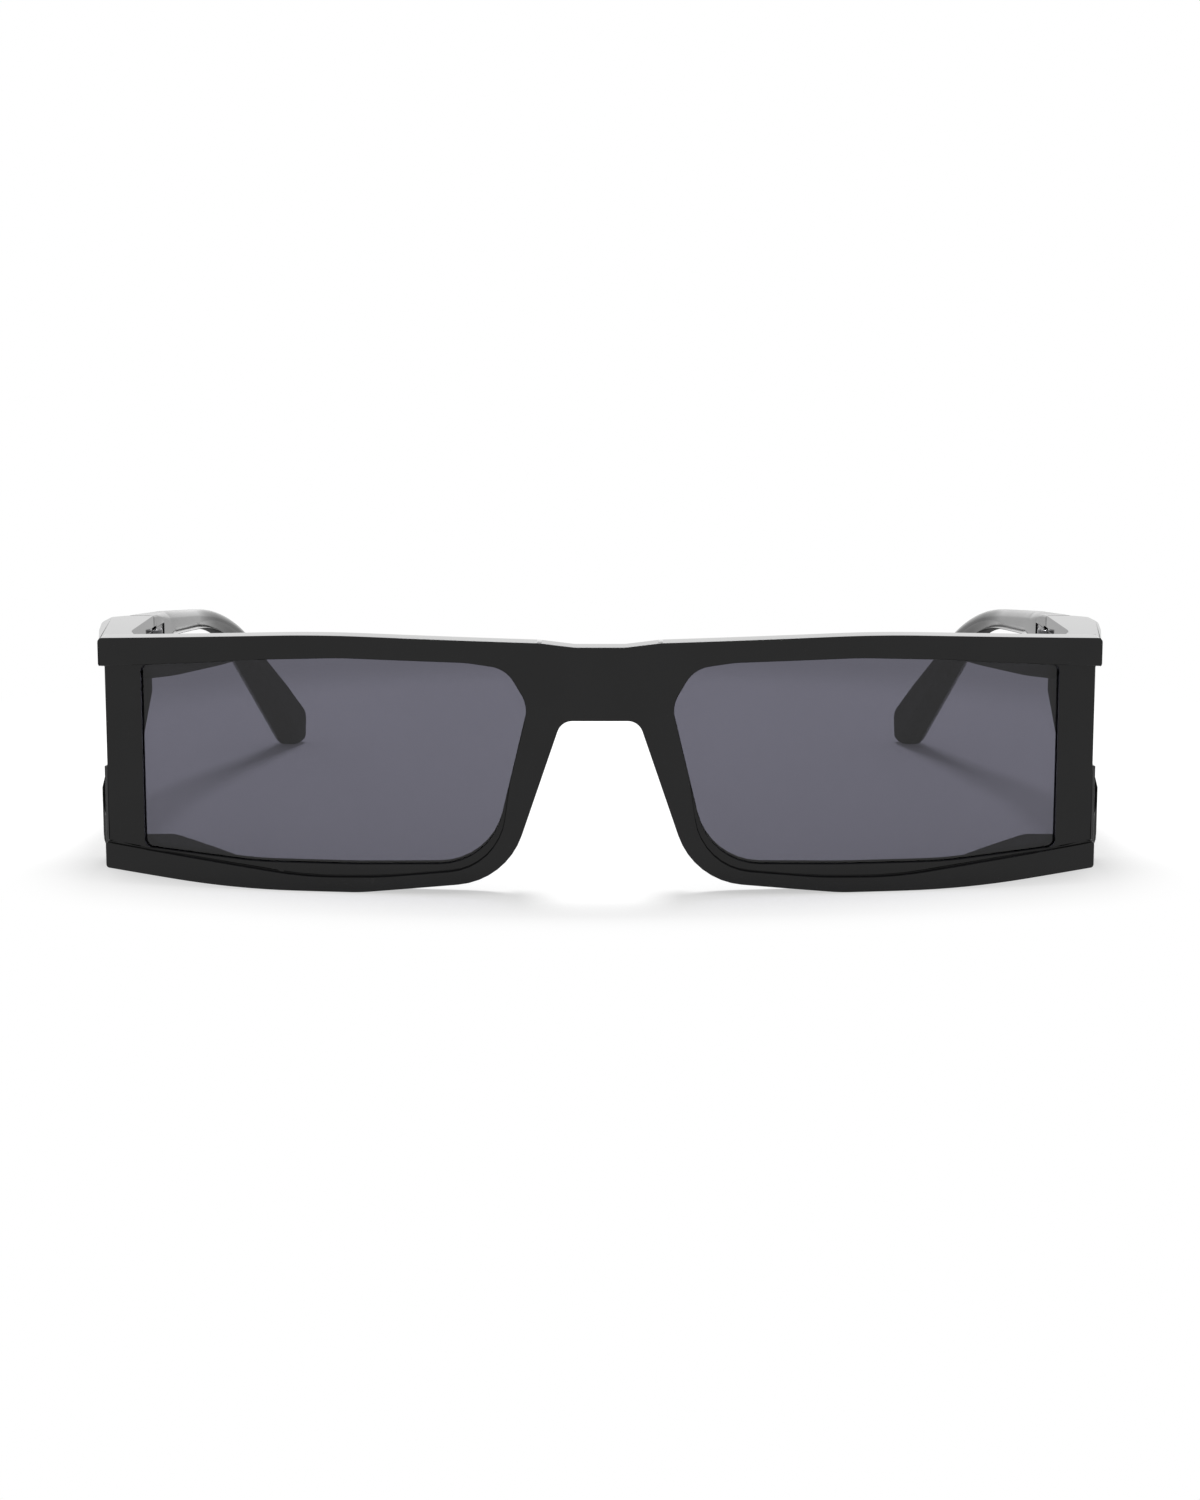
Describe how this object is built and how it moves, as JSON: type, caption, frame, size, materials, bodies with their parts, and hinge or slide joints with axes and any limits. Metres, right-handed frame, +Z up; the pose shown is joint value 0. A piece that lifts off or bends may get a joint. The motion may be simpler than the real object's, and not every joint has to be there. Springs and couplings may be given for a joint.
{
  "type": "sunglasses",
  "caption": "Slim rectangular wraparound sunglasses with a straight top bar, tinted front and side lenses, steel barrel hinges and folding temples with dropped tips.",
  "frame": {"origin": "centre of the box around the open glasses, at the height of the surface that they stand on", "axes": "+X towards the wearer's left, +Y from the face of the front towards the temple tips, +Z up; the rims and the temple tips stand on Z = 0"},
  "size_m": [0.1514, 0.1422, 0.0371],
  "materials": {
    "frame_plastic": "polished moulded black",
    "temple_plastic": "polished moulded black",
    "lens_tint": "smoke grey tint",
    "side_lens_tint": "smoke grey tint",
    "core_steel": "drawn wire",
    "hinge_steel": "stamped and plated dark",
    "screw_steel": "bright turned"
  },
  "bodies": {
    "front": {"front_frame": "frame_plastic", "left_lens": "lens_tint", "right_lens": "lens_tint", "left_side_lens": "side_lens_tint", "right_side_lens": "side_lens_tint", "left_front_leaf": "hinge_steel", "right_front_leaf": "hinge_steel", "left_hinge_screw": "screw_steel", "right_hinge_screw": "screw_steel", "left_front_leaf_screws": "screw_steel", "right_front_leaf_screws": "screw_steel"},
    "left_arm": {"left_temple": "temple_plastic", "left_core_wire": "core_steel", "left_temple_leaf": "hinge_steel", "left_temple_leaf_screws": "screw_steel"},
    "right_arm": {"right_temple": "temple_plastic", "right_core_wire": "core_steel", "right_temple_leaf": "hinge_steel", "right_temple_leaf_screws": "screw_steel"}
  },
  "joints": [
    {"name": "left_temple_fold", "type": "hinge", "parent": "front", "child": "left_arm", "pos_m": [0.0693, -0.03135, 0.0304], "axis": [0, 0, 1], "range_deg": [0, 93]},
    {"name": "right_temple_fold", "type": "hinge", "parent": "front", "child": "right_arm", "pos_m": [-0.0693, -0.03135, 0.0304], "axis": [0, 0, -1], "range_deg": [0, 86]}
  ]
}
